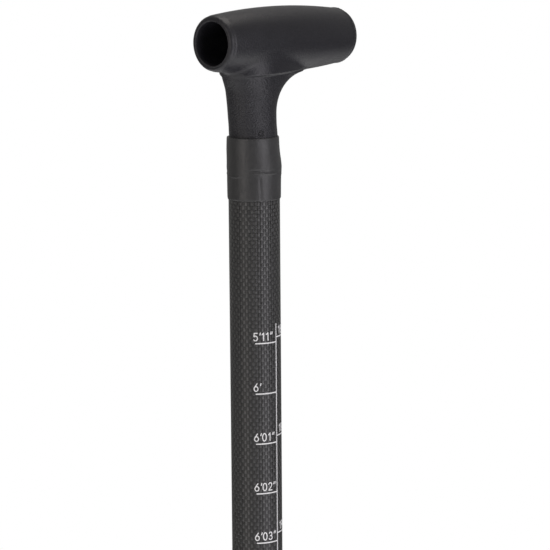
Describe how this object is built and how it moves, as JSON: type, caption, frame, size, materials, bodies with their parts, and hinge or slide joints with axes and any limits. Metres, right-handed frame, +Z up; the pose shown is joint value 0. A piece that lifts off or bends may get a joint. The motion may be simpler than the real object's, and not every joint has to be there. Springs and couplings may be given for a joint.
{
  "type": "adjustable stand-up paddle",
  "caption": "Telescoping stand-up paddle with an offset hollow T grip, printed length scale, lever clamp, push-button ferrule and a leaning carbon blade.",
  "frame": {"origin": "where the axis of the grip bar's bore crosses the axis of the shaft", "axes": "+Z up along the shaft, +X along the grip bar towards its long arm, +Y towards the side that the blade leans to"},
  "size_m": [0.21, 0.0872, 1.9943],
  "materials": {
    "grip_plastic": "matt moulded black with a fine leathery grain",
    "shrink_film": "matt heat-shrunk film, softly creased",
    "carbon_tube": "satin carbon twill",
    "carbon_blade": "gloss carbon twill",
    "clamp_plastic": "glass-filled black, fine spark texture",
    "hard_plastic": "black moulded",
    "liner_plastic": "natural acetal",
    "rail_plastic": "tough black edge rail",
    "neck_rubber": "soft rubber ring",
    "pad_rubber": "ribbed soft pad",
    "anodised_ring": "black anodised",
    "steel": "brushed stainless",
    "spring_steel": "spring leaf",
    "foam": "closed-cell foam",
    "scale_ink": "white printed scale"
  },
  "bodies": {
    "grip_shaft": {"grip_body": "grip_plastic", "shrink_sleeve": "shrink_film", "extension_tube": "carbon_tube", "extension_end_plug": "hard_plastic"},
    "liner": {"clamp_liner": "liner_plastic"},
    "main_shaft": {"clamp_collar": "clamp_plastic", "main_tube": "carbon_tube", "lever_pin": "steel", "cam_pad": "steel", "screw_washer": "steel", "main_foam_bung": "foam", "ferrule_spigot": "hard_plastic", "main_end_ring": "anodised_ring", "lower_end_ring": "anodised_ring", "button_spring": "spring_steel", "lower_tube": "carbon_tube", "lower_foam_bung": "foam", "neck_ring": "neck_rubber", "blade_core": "foam", "blade_face_skin": "carbon_blade", "blade_back_skin": "carbon_blade", "blade_edge_rail": "rail_plastic"},
    "clamp_lever": {"clamp_lever": "clamp_plastic", "lever_pad": "pad_rubber"},
    "tension_screw": {"tension_screw": "steel"},
    "snap_button": {"snap_button": "steel"}
  },
  "joints": [
    {"name": "length_slide", "type": "slide", "parent": "grip_shaft", "child": "liner", "axis": [0, 0, -1], "range_m": [-0.2, 0.2]},
    {"name": "shaft_turn", "type": "hinge", "parent": "liner", "child": "main_shaft", "pos_m": [0, 0, -0.3446], "axis": [0, 0, 1], "continuous": true},
    {"name": "lever_pivot", "type": "hinge", "parent": "main_shaft", "child": "clamp_lever", "pos_m": [0.024, -0.0155, -0.3576], "axis": [0, 0, 1], "range_deg": [0, 130]},
    {"name": "screw_turn", "type": "hinge", "parent": "main_shaft", "child": "tension_screw", "pos_m": [0.024, 0, -0.3576], "axis": [0, 1, 0], "continuous": true},
    {"name": "button_press", "type": "slide", "parent": "main_shaft", "child": "snap_button", "axis": [0, 1, 0], "range_m": [0, 0.0042], "stiffness_N_per_m": 2000, "springref_m": -0.003, "deforming": ["button_spring"]}
  ]
}
